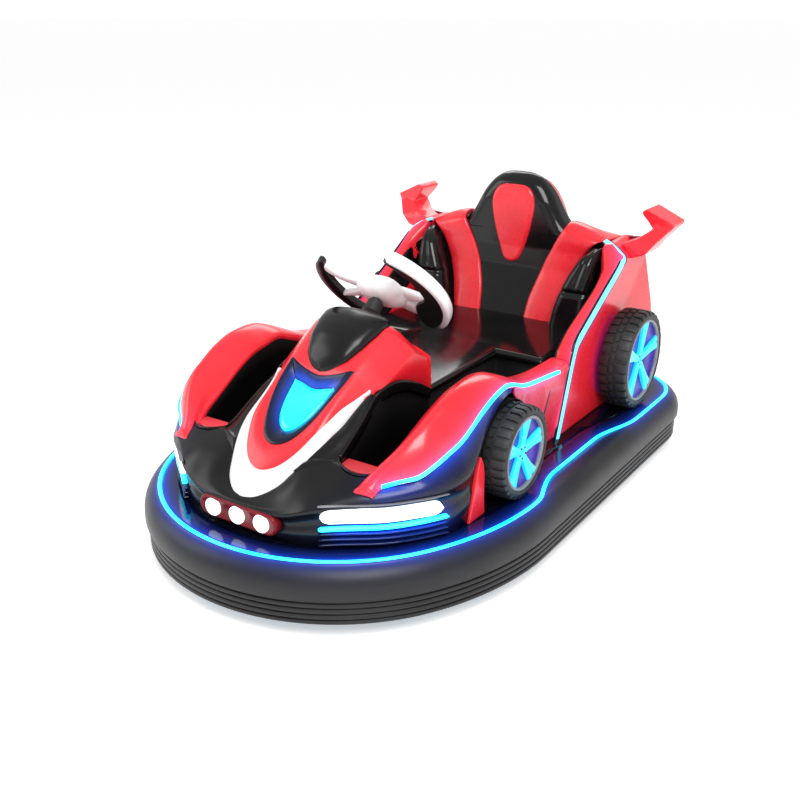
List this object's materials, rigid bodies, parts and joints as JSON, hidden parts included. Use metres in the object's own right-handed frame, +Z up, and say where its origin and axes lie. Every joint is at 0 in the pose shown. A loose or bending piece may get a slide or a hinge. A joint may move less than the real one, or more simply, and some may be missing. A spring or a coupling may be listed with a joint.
{
  "type": "bumper car",
  "caption": "Battery bumper car with a racing-car body: red and black shell, lit rubber bumper ring, bucket seat, steering wheel, decorative side wheels and three hidden running wheels.",
  "frame": {"origin": "on the ground, at the middle of the car's length and width", "axes": "+Z up, the nose towards -Y, the driver's left towards +X"},
  "size_m": [1.156, 1.8552, 0.878],
  "materials": {
    "rubber_ring": "matt moulded rubber",
    "cyan_light": "lit diffuser strip",
    "nose_lamp": "lit lens",
    "white_light": "lit lens",
    "red_light": "lamp lens",
    "gloss_black": "polished",
    "satin_black": "satin",
    "red_gloss": "polished paint on glass fibre",
    "white_gloss": "polished",
    "navy_frame": "polished",
    "dark_red": "polished",
    "seat_black": "glossy moulded seat",
    "seat_red": "glossy moulded seat",
    "grip_black": "matt",
    "tyre": "matt",
    "rim": "lit spokes",
    "frame_steel": "satin black paint",
    "cast_box": "painted casting",
    "battery": "moulded case"
  },
  "bodies": {
    "body": {"bumper_ring": "rubber_ring", "ring_light": "cyan_light", "deck_plate": "gloss_black", "footwell_left": "satin_black", "footwell_right": "satin_black", "chassis_frame": "frame_steel", "rear_axles": "frame_steel", "battery": "battery", "front_fascia": "gloss_black", "nose_shell": "red_gloss", "nose_trim": "white_gloss", "nose_lamp_frame": "navy_frame", "nose_lamp": "nose_lamp", "cowl_panel": "gloss_black", "lamp_bar": "dark_red", "front_lamps": "white_light", "pod_left": "red_gloss", "pod_right": "red_gloss", "pod_lower_left": "gloss_black", "pod_lower_right": "gloss_black", "pod_lights": "cyan_light", "headlights": "white_light", "headlight_strips": "cyan_light", "side_fins": "red_gloss", "foot_bars": "satin_black", "side_body_left": "red_gloss", "side_body_right": "red_gloss", "side_lights": "cyan_light", "rear_cover": "red_gloss", "tail_lamps": "red_light", "wing_left": "red_gloss", "wing_right": "red_gloss", "seat_bench": "seat_black", "seat_saddle": "seat_black", "backrest": "seat_black", "seat_straps": "seat_red", "headrest_insert": "seat_red", "seat_bolsters": "seat_black", "steering_bridge": "frame_steel", "steering_gearbox": "cast_box", "steering_column": "satin_black", "front_tyre_left": "tyre", "front_tyre_right": "tyre", "front_rims": "rim", "rear_tyre_left": "tyre", "rear_tyre_right": "tyre", "rear_rims": "rim"},
    "steering": {"steering_wheel": "white_gloss", "steering_grips": "grip_black"},
    "steer_fork": {"steer_fork": "frame_steel", "drive_motor": "cast_box"},
    "drive_wheel": {"drive_tyre": "tyre", "drive_hub": "cast_box"},
    "road_wheel_left": {"road_left_tyre": "tyre", "road_left_hub": "cast_box"},
    "road_wheel_right": {"road_right_tyre": "tyre", "road_right_hub": "cast_box"}
  },
  "joints": [
    {"name": "steering_turn", "type": "hinge", "parent": "body", "child": "steering", "pos_m": [0, -0.192, 0.66], "axis": [0, 0.7373, 0.6756], "range_deg": [-90, 90]},
    {"name": "fork_turn", "type": "hinge", "parent": "body", "child": "steer_fork", "pos_m": [0, -0.56, 0.25], "axis": [0, 0, 1], "range_deg": [-90, 90]},
    {"name": "drive_spin", "type": "hinge", "parent": "steer_fork", "child": "drive_wheel", "pos_m": [0, -0.56, 0.1], "axis": [1, 0, 0], "continuous": true},
    {"name": "road_left_spin", "type": "hinge", "parent": "body", "child": "road_wheel_left", "pos_m": [0.33, 0.48, 0.08], "axis": [1, 0, 0], "continuous": true},
    {"name": "road_right_spin", "type": "hinge", "parent": "body", "child": "road_wheel_right", "pos_m": [-0.33, 0.48, 0.08], "axis": [1, 0, 0], "continuous": true}
  ],
  "couplings": [
    {"joint": "steering_turn", "follows": "fork_turn", "ratio": 1}
  ]
}
